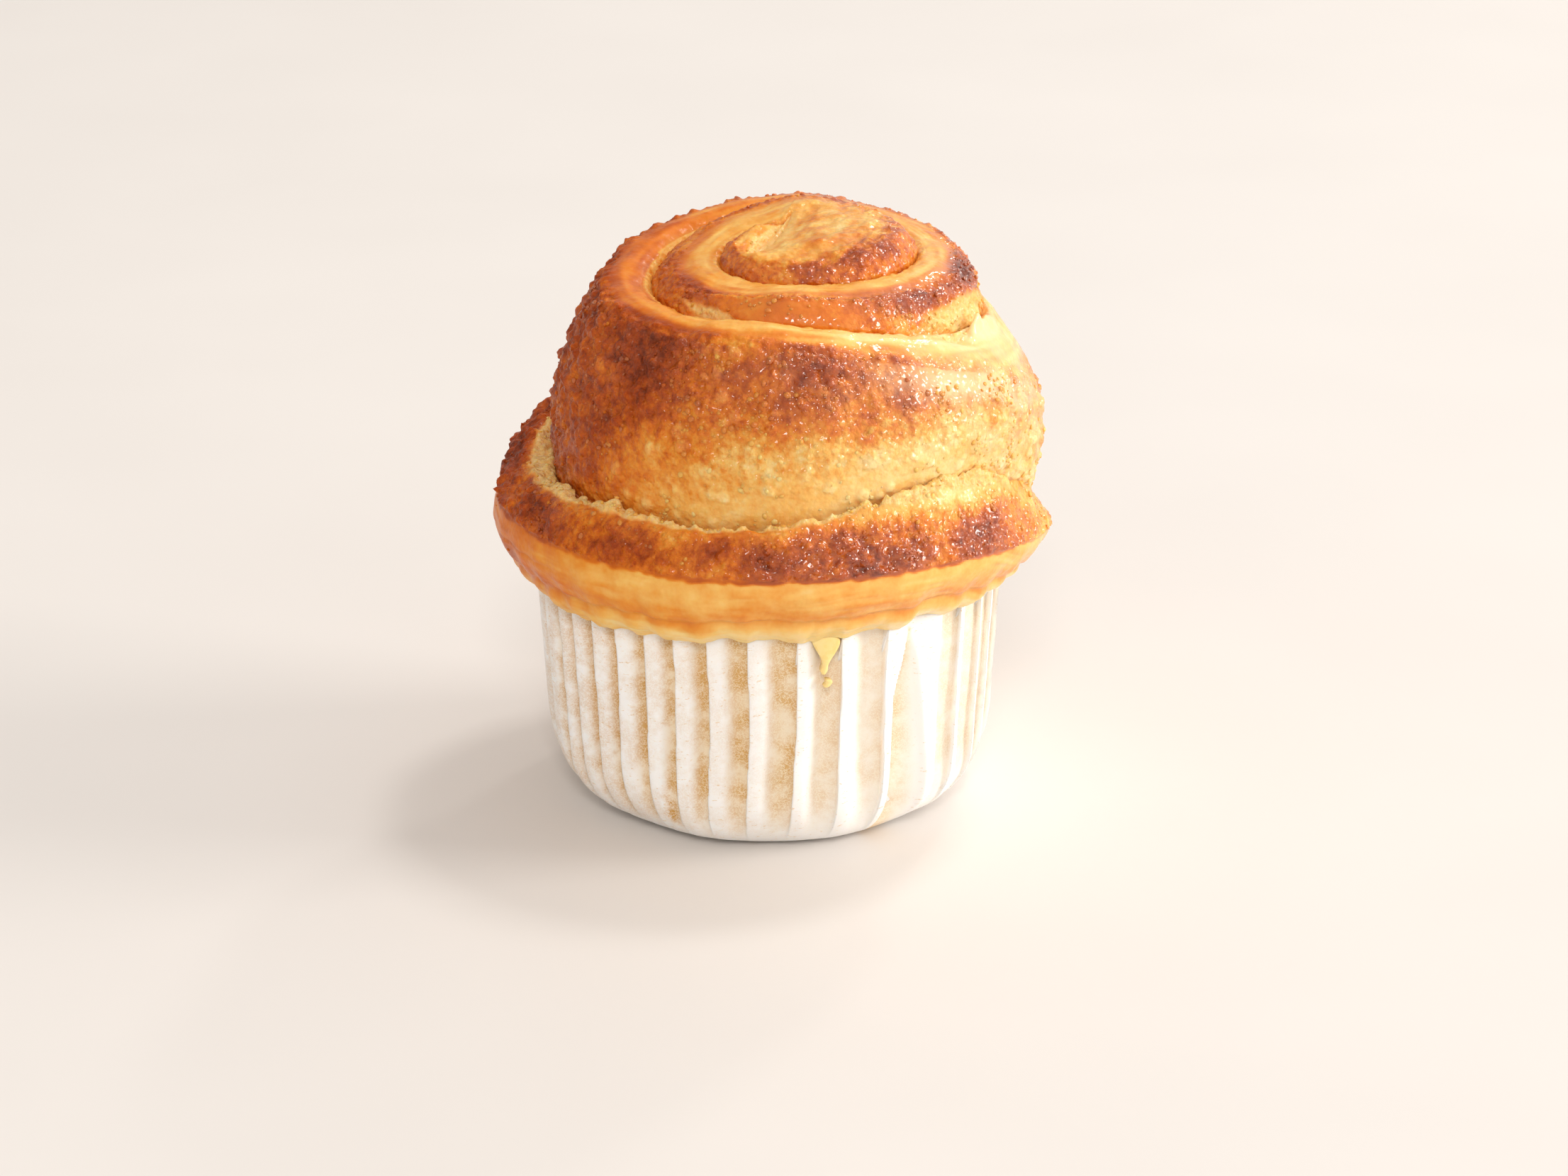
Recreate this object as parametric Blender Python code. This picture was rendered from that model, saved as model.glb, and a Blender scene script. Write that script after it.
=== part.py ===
"""A cruffin: a rolled strip of laminated dough stood on end and baked in a pleated paper case.

The pastry is one solid, swept as a single strip that winds outwards and downwards round the axis.
Lengths are in millimetres up to the last step, which makes metres. Angles start at +X and turn
towards +Y. A phase is a number of turns from there, so phase 1.75 faces the front a second time.
"""

import math

import bpy
import numpy as np

MM = 0.001
FRONT = 1.5 * math.pi
GAP = 0.3

# The strip's spiral, seen from above.
START_TURN = 0.25
END_TURN = 4.125
COLUMNS_PER_TURN = 64
SPIRAL_START_RADIUS = 4.5
SPIRAL_PITCH = 8.6
TOP_SHIFT_X = 4.3
TOP_SHIFT_Y = 2.5
STRIP_START_TAPER = 0.16
STRIP_END_TAPER = 0.10

# Knots of the strip's rim: eighths of a turn, height, distance outside the plain spiral.
RIM = (
    (2, 77.6, 0.0), (3, 77.6, -0.8), (4, 76.6, 0.0), (5, 76.4, 0.0), (6, 76.3, -0.5), (7, 77.6, 0.0),
    (8, 78.2, 0.0), (9, 77.6, 0.0), (10, 78.2, 0.0), (11, 75.8, 0.0), (12, 73.4, 0.0), (13, 73.6, 0.0),
    (14, 74.8, 0.0), (15, 73.8, 0.0), (16, 73.4, 0.0), (17, 74.4, 0.0), (18, 75.8, 0.0), (19, 74.0, 0.0),
    (20, 71.6, 0.6), (21, 70.8, 1.0), (22, 70.8, 0.5), (23, 66.2, 1.0), (24, 57.6, 3.0), (25, 55.0, 2.6),
    (26, 54.0, 2.0), (27, 50.5, 1.4), (28, 44.3, 2.0), (29, 43.6, 0.9), (30, 43.6, 0.0), (31, 42.6, -0.8),
    (32, 37.8, -0.9), (33, 31.0, -8.0),
)
# Knots of its outer foot: eighths of a turn, drop from the rim, distance outside the rim.
FOOT = (
    (2, 0.0, 0.0), (3, 1.6, 1.6), (4, 2.4, 1.8), (6, 2.4, 1.8), (8, 4.0, 2.4), (10, 3.2, 2.4),
    (12, 2.6, 2.4), (14, 3.3, 2.6), (16, 7.4, 2.2), (17, 9.0, 2.6), (18, 15.5, 3.0), (19, 23.0, 4.2),
    (20, 29.4, 5.4), (21, 26.4, 6.4), (22, 24.8, 5.4), (22.5, 19.4, 3.2), (23, 15.4, 0.8), (24, 16.8, -1.3), (25, 24.0, -4.0),
)
# Knots of the torn inner lip: eighths of a turn, rise above the foot inside it, distance outside it.
LIP = (
    (2, 0.8, 0.7), (8, 0.8, 0.8), (10, 0.7, 0.9), (14, 0.8, 0.9), (18, 1.0, 1.1), (22, 1.2, 1.0),
    (24, 1.4, 1.2), (26, 2.0, 1.2), (27, 3.4, 1.3), (28, 4.6, 1.1), (29, 4.6, 1.8), (30, 4.2, 1.9),
    (31, 1.9, 1.2), (32, 0.3, 0.4), (33, 0.1, 0.3),
)
# Knots of the wall's bulge: eighths of a turn, how far it swells past the straight line.
BULGE = (
    (2, 0.1), (6, 0.5), (10, 0.5), (14, 0.6), (16, 0.9), (18, 2.2), (20, 3.3), (22, 3.0), (23, 2.4),
    (24, 1.4), (26, 2.2), (28, 2.1), (30, 1.9), (32, 0.9), (33, 0.0),
)
# Knots of the top face's crown: eighths of a turn, rise over the straight line.
CROWN = ((2, 0.1), (5, 0.4), (8, 1.0), (10, 0.5), (14, 0.3), (20, 0.9), (24, 1.0), (27, 1.3), (30, 1.5), (33, 0.1))

# The short split where the strip begins.
SPLIT_BACK = (2.9, 10.4, 77.7)
SPLIT_FRONT = (-2.5, -2.2, 76.0)
SPLIT_HALF_WIDTH = 0.45
SPLIT_DEPTH = 0.9

# How the section's points are shared out: inner foot to lip, lip to rim, rim to outer foot.
LIP_STEPS = (0.0, 0.5)
TOP_STEPS = (0.0, 0.34, 0.74)
WALL_STEPS = (0.0, 0.08, 0.22, 0.38, 0.56, 0.74, 0.89, 1.0)

# The paper case.
CASE_HEIGHT = 31.9
CASE_TILT = 1.5
CASE_HIGH_SIDE = FRONT + math.radians(35.0)
CASE_RIM_RADIUS = 31.6
CASE_LOW_RADIUS = 29.7
CASE_CORNER_RADIUS = 9.5
CASE_THICKNESS = 0.4
PLEAT_DEPTH = 1.5
PLEAT_STEPS = (0.0, 0.3, 0.5, 0.7)
# Directions of the pleat crests at the front, in degrees from there; the others share what is left.
FRONT_CRESTS = (-63.0, -56.0, -48.0, -40.0, -31.0, -23.0, -14.5, -4.5, 7.0, 18.0, 30.0, 45.0, 54.0)
BACK_CRESTS = 24
# A dented pleat: direction of its sharp edge and of its far side, its top and its depth.
DENT_EDGE = 32.0
DENT_FAR = 44.0
DENT_TOP = 24.0
DENT_DEPTH = 1.7

DOUGH_OVERLAP = 0.5
SEAT_LEDGE = 0.6


def smooth(low, high, value):
    """0 up to low, 1 from high on, and an even S between."""
    share = np.clip((value - low) / (high - low), 0.0, 1.0)
    return share * share * (3.0 - 2.0 * share)


def through(knots, column, value):
    """A smooth curve through one column of a table of knots."""
    places = np.array([knot[0] for knot in knots], float)
    heights = np.array([knot[column] for knot in knots], float)
    slopes = np.gradient(heights, places)
    i = np.clip(np.searchsorted(places, value, side="right") - 1, 0, len(places) - 2)
    width = places[i + 1] - places[i]
    u = np.clip((value - places[i]) / width, 0.0, 1.0)
    start = (2 * u**3 - 3 * u**2 + 1) * heights[i] + (u**3 - 2 * u**2 + u) * width * slopes[i]
    end = (3 * u**2 - 2 * u**3) * heights[i + 1] + (u**3 - u**2) * width * slopes[i + 1]
    return start + end


def along(angle):
    """The flat unit vector in this direction."""
    return np.stack([np.cos(angle), np.sin(angle), np.zeros_like(angle)], -1)


def up(height):
    return np.stack([np.zeros_like(height), np.zeros_like(height), height], -1)


def centre_of(turn):
    """The spiral's middle, which moves back onto the axis on the way down."""
    share = 1.0 - smooth(2.6, 3.5, turn)
    return np.stack([TOP_SHIFT_X * share, TOP_SHIFT_Y * share, np.zeros_like(turn)], -1)


def edge_height(angle):
    """Height of the case's edge, a little higher at the front right."""
    return CASE_HEIGHT + CASE_TILT * np.cos(angle - CASE_HIGH_SIDE)


def split_ring(angle):
    """The floor of the split, as a long thin loop round the line of the split."""
    back = np.array(SPLIT_BACK)
    front = np.array(SPLIT_FRONT)
    middle = (back + front) / 2
    half = (back - front) / 2
    heading = math.atan2(half[1], half[0])
    place = np.cos(angle - heading)[..., None]
    side = np.sin(angle - heading)[..., None]
    across = np.array([-math.sin(heading), math.cos(heading), 0.0])
    floor = middle + half * place + across * side * SPLIT_HALF_WIDTH
    return floor - up(SPLIT_DEPTH * (1.0 - place[..., 0] ** 4))


def base_ring(angle):
    """The lower edge of the dough, just over the case's edge."""
    ring = along(angle) * (CASE_RIM_RADIUS + DOUGH_OVERLAP)
    return ring + up(edge_height(angle) + GAP)


def rim_point(turn):
    angle = 2 * math.pi * turn
    radius = SPIRAL_START_RADIUS + SPIRAL_PITCH * turn + through(RIM, 2, turn * 8)
    return centre_of(turn) + along(angle) * radius[..., None] + up(through(RIM, 1, turn * 8))


def foot_point(turn):
    """The outer foot, which is also where the next turn's section begins."""
    angle = 2 * math.pi * turn
    inner = np.minimum(turn * 8, 25.0)
    step = along(angle) * through(FOOT, 2, inner)[..., None] - up(through(FOOT, 1, inner))
    free = rim_point(turn) + step
    at_base = smooth(END_TURN - 1.12, END_TURN - 1.0, turn)[..., None]
    at_start = 1.0 - smooth(START_TURN, START_TURN + STRIP_START_TAPER, turn)[..., None]
    free = free + (base_ring(angle) - free) * at_base
    return free + (split_ring(angle) - free) * at_start


def inner_point(turn):
    """The inner foot: the foot one turn earlier, or the split's floor on the first turn."""
    angle = 2 * math.pi * turn
    first = (turn < START_TURN + 1.0)[..., None]
    return np.where(first, split_ring(angle), foot_point(np.maximum(turn - 1.0, START_TURN)))


def strip_share(turn):
    """How much of the strip's full size it has here: it runs out to nothing at both ends."""
    start = smooth(START_TURN, START_TURN + STRIP_START_TAPER, turn)
    end = 1.0 - smooth(END_TURN - STRIP_END_TAPER, END_TURN, turn)
    return start * end


def section_points(turn, part, share):
    """Points of the strip's section. part is 0 from inner foot to lip, 1 on the top, 2 down the wall."""
    out = along(2 * math.pi * turn)
    inner = inner_point(turn)
    foot = foot_point(turn)
    size = strip_share(turn)[..., None]
    lip = inner + (out * through(LIP, 2, turn * 8)[..., None] + up(through(LIP, 1, turn * 8))) * size
    rim = inner + (rim_point(turn) - inner) * size
    foot = np.where(turn[..., None] > END_TURN - STRIP_END_TAPER, inner + (foot - inner), foot)
    u = share[..., None]
    rise = lip + (inner - lip) * (1.0 - u)
    crown = up(through(CROWN, 1, turn * 8) * 4 * share * (1.0 - share)) * size
    top = lip + (rim - lip) * u + crown
    swell = through(BULGE, 1, turn * 8) * np.sin(math.pi * share**0.85) * strip_share(turn)
    wall = rim + (foot - rim) * u + out * swell[..., None]
    part = part[..., None]
    return np.where(part == 0, rise, np.where(part == 1, top, wall))


def section_rows():
    """(part, share) of every point of a section, from inner foot to outer foot."""
    rows = [(0, share) for share in LIP_STEPS]
    rows += [(1, share) for share in TOP_STEPS]
    rows += [(2, share) for share in WALL_STEPS]
    return rows


def case_radius(height):
    """Outer radius of the case over its crests at this height."""
    straight = CASE_LOW_RADIUS + (CASE_RIM_RADIUS - CASE_LOW_RADIUS) * height / CASE_HEIGHT
    drop = np.clip(CASE_CORNER_RADIUS - height, 0.0, CASE_CORNER_RADIUS) / CASE_CORNER_RADIUS
    corner = CASE_CORNER_RADIUS * (1.0 - np.sqrt(1.0 - drop**2))
    return straight - corner


def crest_angles():
    """Directions of all pleat crests, once round."""
    front = [FRONT + math.radians(degrees) for degrees in FRONT_CRESTS]
    span = 2 * math.pi - (front[-1] - front[0])
    back = []
    for k in range(1, BACK_CRESTS + 1):
        place = k / (BACK_CRESTS + 1) + 0.006 * math.sin(2.6 * k)
        back.append(front[-1] + span * place)
    return front + back


def dent_depth(offset, height):
    """How far the case is pushed in by the dented pleat, at this offset in degrees from the front."""
    across = np.clip((offset - DENT_EDGE) / (DENT_FAR - DENT_EDGE), 0.0, 1.0)
    inside = (offset >= DENT_EDGE) & (offset <= DENT_FAR)
    reach = 1.0 - smooth(DENT_TOP - 9.0, DENT_TOP, height)
    return DENT_DEPTH * (1.0 - across) * inside * reach * smooth(1.0, 8.0, height)


def pleat_depth(share, height):
    """How far the case lies inside its crests: share runs from 0 on one crest to 1 on the next."""
    valley = (1.0 - np.abs(2.0 * share - 1.0)) ** 1.3
    return PLEAT_DEPTH * valley * (0.25 + 0.75 * smooth(0.0, 16.0, height)) * smooth(0.0, 5.0, height)


def case_columns():
    """(angle, share between crests) of the case's columns."""
    crests = crest_angles()
    columns = []
    for k, crest in enumerate(crests):
        following = crests[k + 1] if k + 1 < len(crests) else crests[0] + 2 * math.pi
        for share in PLEAT_STEPS:
            columns.append((crest + (following - crest) * share, share))
    return columns


def case_ring(level, inset):
    """One ring of the case. level is 0 on the floor and 1 at the edge; inset is 0 outside."""
    points = []
    for angle, share in case_columns():
        height = level * edge_height(angle)
        offset = math.degrees(angle - FRONT)
        radius = case_radius(height) - pleat_depth(share, height) - dent_depth(offset, height)
        radius = radius - inset
        lifted = height + inset * max(0.0, 1.0 - height / CASE_CORNER_RADIUS)
        points.append((radius * math.cos(angle), radius * math.sin(angle), lifted))
    return points


def body_radius(angle, height):
    """Radius of the dough inside the case, clear of the pleats and of the dent."""
    offset = math.degrees(math.remainder(angle - FRONT, 2 * math.pi))
    near = smooth(DENT_EDGE - 9.0, DENT_EDGE - 2.0, offset) * (1.0 - smooth(DENT_FAR, DENT_FAR + 9.0, offset))
    clear = case_radius(height) - PLEAT_DEPTH - CASE_THICKNESS - GAP - 0.25
    return clear - DENT_DEPTH * near * (1.0 - smooth(DENT_TOP - 6.0, DENT_TOP + 3.0, height))


def band(faces, lower, upper):
    """Faces between two rings of vertex numbers, facing out when upper is the further one down."""
    count = len(lower)
    for i in range(count):
        k = (i + 1) % count
        faces.append((lower[i], upper[i], upper[k], lower[k]))


def strip_mesh():
    """Vertices and faces of the pastry: the wound strip, then the plain body inside the case."""
    count = COLUMNS_PER_TURN
    first = round(START_TURN * count)
    last = round(END_TURN * count)
    rows = section_rows()
    turns = np.arange(first, last + 1) / count
    parts = np.array([row[0] for row in rows])
    shares = np.array([row[1] for row in rows])
    grid = section_points(
        np.repeat(turns[:, None], len(rows), 1),
        np.repeat(parts[None, :], len(turns), 0),
        np.repeat(shares[None, :], len(turns), 0),
    )
    vertices = []
    number = np.zeros(grid.shape[:2], int)

    def add(point):
        vertices.append(tuple(point))
        return len(vertices) - 1

    split = [add(split_ring(np.array(2 * math.pi * turns[i]))) for i in range(count)]
    for i in range(len(turns)):
        number[i, 0] = split[i] if i < count else number[i - count, -1]
        tapered = i == 0 or i == len(turns) - 1
        for j in range(1, len(rows)):
            number[i, j] = number[i, 0] if tapered else add(grid[i, j])
    faces = []
    for i in range(len(turns) - 1):
        for j in range(len(rows) - 1):
            face = (number[i, j], number[i, j + 1], number[i + 1, j + 1], number[i + 1, j])
            faces.append(tuple(dict.fromkeys(int(v) for v in face)))
    middle = add((np.array(SPLIT_BACK) + np.array(SPLIT_FRONT)) / 2 - np.array([0, 0, SPLIT_DEPTH]))
    for i in range(count):
        faces.append((middle, split[i], split[(i + 1) % count]))
    base = [int(number[i, -1]) for i in range(len(turns) - 1 - count, len(turns) - 1)]
    angles = 2 * math.pi * turns[len(turns) - 1 - count : len(turns) - 1]
    add_body(add, faces, base, angles)
    return vertices, [face for face in faces if len(face) > 2]


def add_body(add, faces, base, angles):
    """The dough below the case's edge, down to its own floor."""
    levels = (1.0, 0.6, 0.3, 0.16, 0.07)
    ring = base
    for k, level in enumerate(levels):
        points = []
        for angle in angles:
            height = level * float(edge_height(angle))
            radius = float(body_radius(angle, np.array(height)))
            lift = SEAT_LEDGE if k == 0 else 0.0
            points.append((radius * math.cos(angle), radius * math.sin(angle), height + lift))
        following = [add(point) for point in points]
        band(faces, ring, following)
        ring = following
    floor = CASE_THICKNESS + GAP
    radius = float(case_radius(np.array(0.0))) - 0.5
    foot = [add((radius * math.cos(a), radius * math.sin(a), floor)) for a in angles]
    band(faces, ring, foot)
    centre = add((0.0, 0.0, floor))
    for i in range(len(foot)):
        faces.append((centre, foot[(i + 1) % len(foot)], foot[i]))


def case_mesh():
    """Vertices and faces of the case: outside down from the edge, floor, and back up inside."""
    levels = (1.0, 0.72, 0.45, 0.24, 0.12, 0.04, 0.0)
    vertices = []
    rings = []
    for inset, order in ((0.0, levels), (CASE_THICKNESS, levels)):
        for level in order:
            start = len(vertices)
            vertices += case_ring(level, inset)
            rings.append(list(range(start, len(vertices))))
    faces = []
    outer = rings[: len(levels)]
    inner = rings[len(levels) :]
    for upper, lower in zip(outer, outer[1:]):
        band(faces, upper, lower)
    for upper, lower in zip(inner, inner[1:]):
        band(faces, lower, upper)
    band(faces, inner[0], outer[0])
    for ring, height, turned in ((outer[-1], 0.0, True), (inner[-1], CASE_THICKNESS, False)):
        vertices.append((0.0, 0.0, height))
        centre = len(vertices) - 1
        for i in range(len(ring)):
            pair = (ring[(i + 1) % len(ring)], ring[i]) if turned else (ring[i], ring[(i + 1) % len(ring)])
            faces.append((centre, *pair))
    return vertices, faces


def clear_scene():
    for obj in list(bpy.data.objects):
        bpy.data.objects.remove(obj)


def material(name, colour, roughness):
    made = bpy.data.materials.new(name)
    made.use_nodes = True
    shader = made.node_tree.nodes["Principled BSDF"]
    shader.inputs["Base Color"].default_value = (*colour, 1.0)
    shader.inputs["Roughness"].default_value = roughness
    made.diffuse_color = (*colour, 1.0)
    return made


def add_solid(name, vertices, faces, look, collection):
    mesh = bpy.data.meshes.new(name)
    mesh.from_pydata([tuple(MM * v for v in vertex) for vertex in vertices], [], faces)
    mesh.validate()
    mesh.shade_smooth()
    mesh.materials.append(look)
    obj = bpy.data.objects.new(name, mesh)
    collection.objects.link(obj)
    return obj


def main():
    clear_scene()
    collection = bpy.data.collections.new("cruffin")
    bpy.context.scene.collection.children.link(collection)
    crust = material("baked_crust", (0.62, 0.30, 0.08), 0.55)
    paper = material("case_paper", (0.86, 0.82, 0.74), 0.7)
    add_solid("pastry", *strip_mesh(), crust, collection)
    add_solid("paper_case", *case_mesh(), paper, collection)


main()
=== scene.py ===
"""The looks of the cruffin: a browned spiral of laminated dough in a pleated paper case.

The form repeats the named values of the solids. Lengths are in millimetres up to the last step, which
makes metres. Angles start at +X and turn towards +Y, and a phase is a number of turns from there.
"""

import itertools
import math

import bpy
import numpy as np
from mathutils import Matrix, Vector


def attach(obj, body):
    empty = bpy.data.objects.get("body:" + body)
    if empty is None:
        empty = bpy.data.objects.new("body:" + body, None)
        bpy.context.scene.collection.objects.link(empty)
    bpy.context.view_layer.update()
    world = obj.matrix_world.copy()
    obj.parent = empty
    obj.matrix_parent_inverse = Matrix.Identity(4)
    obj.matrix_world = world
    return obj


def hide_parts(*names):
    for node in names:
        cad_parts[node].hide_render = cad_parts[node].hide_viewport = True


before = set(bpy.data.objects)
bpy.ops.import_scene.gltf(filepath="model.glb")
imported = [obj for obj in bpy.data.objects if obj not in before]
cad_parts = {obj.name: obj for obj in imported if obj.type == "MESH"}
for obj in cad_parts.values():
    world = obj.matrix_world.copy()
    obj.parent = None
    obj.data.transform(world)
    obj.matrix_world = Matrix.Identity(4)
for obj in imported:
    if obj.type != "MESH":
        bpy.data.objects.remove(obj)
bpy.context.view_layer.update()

MM = 0.001
FRONT = 1.5 * math.pi
GAP = 0.3

# The strip's spiral, as in the solids.
START_TURN = 0.25
END_TURN = 4.125
SPIRAL_START_RADIUS = 4.5
SPIRAL_PITCH = 8.6
TOP_SHIFT_X = 4.3
TOP_SHIFT_Y = 2.5
STRIP_START_TAPER = 0.16
STRIP_END_TAPER = 0.10

# Knots of the strip's rim: eighths of a turn, height, distance outside the plain spiral.
RIM = (
    (2, 77.6, 0.0), (3, 77.6, -0.8), (4, 76.6, 0.0), (5, 76.4, 0.0), (6, 76.3, -0.5), (7, 77.6, 0.0),
    (8, 78.2, 0.0), (9, 77.6, 0.0), (10, 78.2, 0.0), (11, 75.8, 0.0), (12, 73.4, 0.0), (13, 73.6, 0.0),
    (14, 74.8, 0.0), (15, 73.8, 0.0), (16, 73.4, 0.0), (17, 74.4, 0.0), (18, 75.8, 0.0), (19, 74.0, 0.0),
    (20, 71.6, 0.6), (21, 70.8, 1.0), (22, 70.8, 0.5), (23, 66.2, 1.0), (24, 57.6, 3.0), (25, 55.0, 2.6),
    (26, 54.0, 2.0), (27, 50.5, 1.4), (28, 44.3, 2.0), (29, 43.6, 0.9), (30, 43.6, 0.0), (31, 42.6, -0.8),
    (32, 37.8, -0.9), (33, 31.0, -8.0),
)
# Knots of its outer foot: eighths of a turn, drop from the rim, distance outside the rim.
FOOT = (
    (2, 0.0, 0.0), (3, 1.6, 1.6), (4, 2.4, 1.8), (6, 2.4, 1.8), (8, 4.0, 2.4), (10, 3.2, 2.4),
    (12, 2.6, 2.4), (14, 3.3, 2.6), (16, 7.4, 2.2), (17, 9.0, 2.6), (18, 15.5, 3.0), (19, 23.0, 4.2),
    (20, 29.4, 5.4), (21, 26.4, 6.4), (22, 24.8, 5.4), (22.5, 19.4, 3.2), (23, 15.4, 0.8),
    (24, 16.8, -1.3), (25, 24.0, -4.0),
)
# Knots of the torn inner lip: eighths of a turn, rise above the foot inside it, distance outside it.
LIP = (
    (2, 0.8, 0.7), (8, 0.8, 0.8), (10, 0.7, 0.9), (14, 0.8, 0.9), (18, 1.0, 1.1), (22, 1.2, 1.0),
    (24, 1.4, 1.2), (26, 2.0, 1.2), (27, 3.4, 1.3), (28, 4.6, 1.1), (29, 4.6, 1.8), (30, 4.2, 1.9),
    (31, 1.9, 1.2), (32, 0.3, 0.4), (33, 0.1, 0.3),
)
# Knots of the wall's bulge: eighths of a turn, how far it swells past the straight line.
BULGE = (
    (2, 0.1), (6, 0.5), (10, 0.5), (14, 0.6), (16, 0.9), (18, 2.2), (20, 3.3), (22, 3.0), (23, 2.4),
    (24, 1.4), (26, 2.2), (28, 2.1), (30, 1.9), (32, 0.9), (33, 0.0),
)
# Knots of the top face's crown: eighths of a turn, rise over the straight line.
CROWN = (
    (2, 0.1), (5, 0.4), (8, 1.0), (10, 0.5), (14, 0.3), (20, 0.9), (24, 1.0), (27, 1.3), (30, 1.5),
    (33, 0.1),
)

# The short split where the strip begins.
SPLIT_BACK = (2.9, 10.4, 77.7)
SPLIT_FRONT = (-2.5, -2.2, 76.0)
SPLIT_HALF_WIDTH = 0.45
SPLIT_DEPTH = 0.9

# The paper case.
CASE_HEIGHT = 31.9
CASE_TILT = 1.5
CASE_HIGH_SIDE = FRONT + math.radians(35.0)
CASE_RIM_RADIUS = 31.6
CASE_LOW_RADIUS = 29.7
CASE_CORNER_RADIUS = 9.5
PAPER_THICKNESS = 0.15
PLEAT_DEPTH = 1.5
FRONT_CRESTS = (-63.0, -56.0, -48.0, -40.0, -31.0, -23.0, -14.5, -4.5, 7.0, 18.0, 30.0, 45.0, 54.0)
BACK_CRESTS = 24
DOUGH_OVERLAP = 0.5

# The stretches of the strip, one mesh each: name, first and last turn, columns, rows, rounding in mm.
STRETCHES = (
    ("pastry_swirl", START_TURN, 2.0, 520, 60, 0.45),
    ("pastry_dome", 2.0, 3.0, 640, 120, 0.75),
    ("pastry_collar", 3.0, END_TURN, 780, 120, 0.95),
)

# Browning along the strip's rim and along the foot of its wall: eighths of a turn, 0 pale to 1 nearly black.
RIM_BROWN = (
    (2, 0.50), (3, 0.52), (5, 0.54), (6, 0.58), (6.6, 0.64), (7.4, 0.74), (8, 0.62), (9, 0.56), (9.7, 0.68),
    (10.5, 0.66), (11, 0.60), (12, 0.66), (12.8, 0.72), (13.4, 0.55), (14, 0.50), (14.7, 0.66),
    (15.3, 0.76), (16, 0.76), (16.6, 0.62), (17.5, 0.56), (18.5, 0.64), (19.3, 0.72), (20, 0.78),
    (20.7, 0.76), (21.15, 0.84), (21.5, 0.58), (21.85, 0.62), (22.15, 0.66), (22.45, 0.60), (22.9, 0.48),
    (23.3, 0.42), (24, 0.50), (25, 0.60), (26, 0.66), (27, 0.74), (28, 0.78), (28.4, 0.67), (28.9, 0.57),
    (29.5, 0.56), (30.1, 0.69), (30.8, 0.66), (31.15, 0.68), (31.35, 0.56), (31.6, 0.38), (32.2, 0.30),
    (33, 0.30),
)
FOOT_BROWN = (
    (2, 0.50), (8, 0.50), (12, 0.54), (14, 0.46), (15, 0.32), (16, 0.32), (18, 0.56), (19.5, 0.66),
    (20.5, 0.60), (21.2, 0.46), (21.7, 0.26), (22.2, 0.12), (23, 0.05), (24, 0.08), (26, 0.2), (33, 0.14),
)
# Browner and paler patches: eighths of a turn, place on the section, reach of each, amount.
PATCHES = (
    (6.94, 2.05, 0.5, 0.14, 0.05), (12.74, 1.9, 0.35, 0.25, 0.08), (14.98, 2.12, 0.35, 0.22, 0.12),
    (15.45, 2.65, 0.45, 0.25, -0.32), (15.82, 1.95, 0.2, 0.25, 0.22), (20.25, 2.08, 0.25, 0.10, 0.10),
    (21.18, 2.05, 0.20, 0.08, 0.08), (22.1, 2.05, 0.35, 0.05, 0.04), (22.58, 2.24, 0.22, 0.10, 0.14),
    (22.0, 2.22, 0.25, 0.12, 0.06), (20.6, 2.55, 0.5, 0.3, 0.10), (23.0, 2.12, 0.3, 0.08, -0.08),
    (27.9, 1.85, 0.5, 0.2, 0.04), (28.66, 1.72, 0.17, 0.22, 0.24), (29.21, 1.72, 0.15, 0.22, 0.26),
    (29.50, 1.5, 0.14, 0.3, -0.08), (30.0, 1.72, 0.35, 0.2, 0.06), (30.5, 1.85, 0.2, 0.15, 0.12),
    (30.7, 1.30, 0.35, 0.22, -0.16), (31.07, 1.78, 0.16, 0.16, 0.20), (31.02, 1.25, 0.35, 0.22, -0.20),
)
# Bared crumb at the right: eighths of a turn, place on the section, reach of each.
BARED = ((23.1, 0.95, 0.55, 0.22), (15.5, 2.6, 0.55, 0.32))
# A thin flake that stands up there and the notch before it: the same, and height or depth.
FLAKE = (23.60, 1.12, 0.20, 0.10, 2.3)
NOTCH = (23.22, 1.1, 0.17, 0.30, 1.5)
# A small bubble beside the split: its place across, reach and height.
BUBBLE = (6.9, -2.6, 1.1, 0.6)
# Where the dome's lower wall is palest, in eighths of a turn.
PALE_FRONT = 22.3

rng = np.random.default_rng(31)
SHUFFLE = rng.permutation(256)
SLOPES = rng.normal(size=(256, 3))
SLOPES /= np.linalg.norm(SLOPES, axis=1, keepdims=True)


def smooth(low, high, value):
    """0 up to low, 1 from high on, and an even S between."""
    share = np.clip((value - low) / (high - low), 0.0, 1.0)
    return share * share * (3.0 - 2.0 * share)


def near(value, middle, reach):
    """1 at the middle, falling off smoothly over about this reach."""
    return np.exp(-(((value - middle) / reach) ** 2))


def through(knots, column, value):
    """A smooth curve through one column of a table of knots."""
    places = np.array([knot[0] for knot in knots], float)
    heights = np.array([knot[column] for knot in knots], float)
    slopes = np.gradient(heights, places)
    i = np.clip(np.searchsorted(places, value, side="right") - 1, 0, len(places) - 2)
    width = places[i + 1] - places[i]
    u = np.clip((value - places[i]) / width, 0.0, 1.0)
    start = (2 * u**3 - 3 * u**2 + 1) * heights[i] + (u**3 - 2 * u**2 + u) * width * slopes[i]
    end = (3 * u**2 - 2 * u**3) * heights[i + 1] + (u**3 - u**2) * width * slopes[i + 1]
    return start + end


def picked(cell):
    """A number from 0 to 255 for each cell of a grid."""
    spot = cell & 255
    return SHUFFLE[(SHUFFLE[(SHUFFLE[spot[..., 0]] + spot[..., 1]) & 255] + spot[..., 2]) & 255]


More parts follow.
